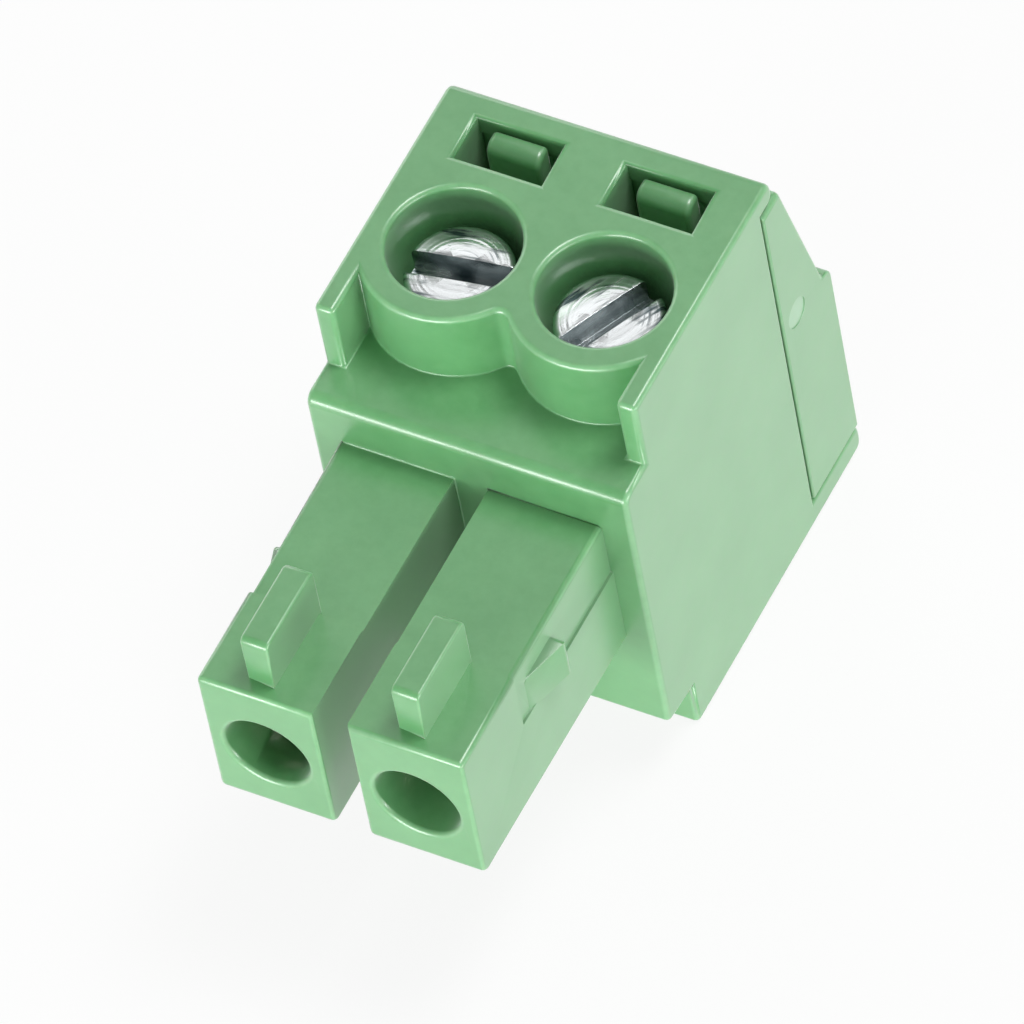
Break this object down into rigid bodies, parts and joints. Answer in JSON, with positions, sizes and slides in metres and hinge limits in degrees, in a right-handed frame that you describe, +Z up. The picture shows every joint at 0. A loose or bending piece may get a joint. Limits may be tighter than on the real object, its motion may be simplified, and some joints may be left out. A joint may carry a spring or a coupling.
{
  "type": "pluggable terminal block",
  "caption": "Pluggable screw terminal plug: green housing, round screw wells on top, wire funnels behind, twin socket towers in front; turning a screw lifts its clamp cage.",
  "frame": {"origin": "centre of the bounding box on the flat bottom face", "axes": "+Z up along the screws, -Y towards the plug towers, +Y towards the wire openings, X across the poles"},
  "size_m": [0.0074, 0.0156, 0.0111],
  "materials": {
    "housing_green": "satin moulded polyamide",
    "entry_green": "satin moulded polyamide",
    "tinned_bronze": "tin plated",
    "plated_steel": "nickel plated",
    "zinc_screw": "bright zinc plated"
  },
  "bodies": {
    "root": {"housing": "housing_green", "wire_entry": "entry_green", "contact_1": "tinned_bronze", "contact_2": "tinned_bronze"},
    "screw_body_1": {"screw_1": "zinc_screw"},
    "screw_body_2": {"screw_2": "zinc_screw"},
    "cage_body_1": {"cage_1": "plated_steel"},
    "cage_body_2": {"cage_2": "plated_steel"}
  },
  "joints": [
    {"name": "screw_turn_1", "type": "hinge", "parent": "root", "child": "screw_body_1", "pos_m": [-0.00175, 0.00235, 0.009], "axis": [0, 0, 1], "range_deg": [-2160, 0]},
    {"name": "screw_turn_2", "type": "hinge", "parent": "root", "child": "screw_body_2", "pos_m": [0.00175, 0.00235, 0.009], "axis": [0, 0, 1], "range_deg": [-2160, 0]},
    {"name": "cage_lift_1", "type": "slide", "parent": "root", "child": "cage_body_1", "axis": [0, 0, 1], "range_m": [0, 0.0024]},
    {"name": "cage_lift_2", "type": "slide", "parent": "root", "child": "cage_body_2", "axis": [0, 0, 1], "range_m": [0, 0.0024]}
  ],
  "couplings": [
    {"joint": "screw_turn_1", "follows": "cage_lift_1", "rad_per_m": -15708},
    {"joint": "screw_turn_2", "follows": "cage_lift_2", "rad_per_m": -15708}
  ]
}
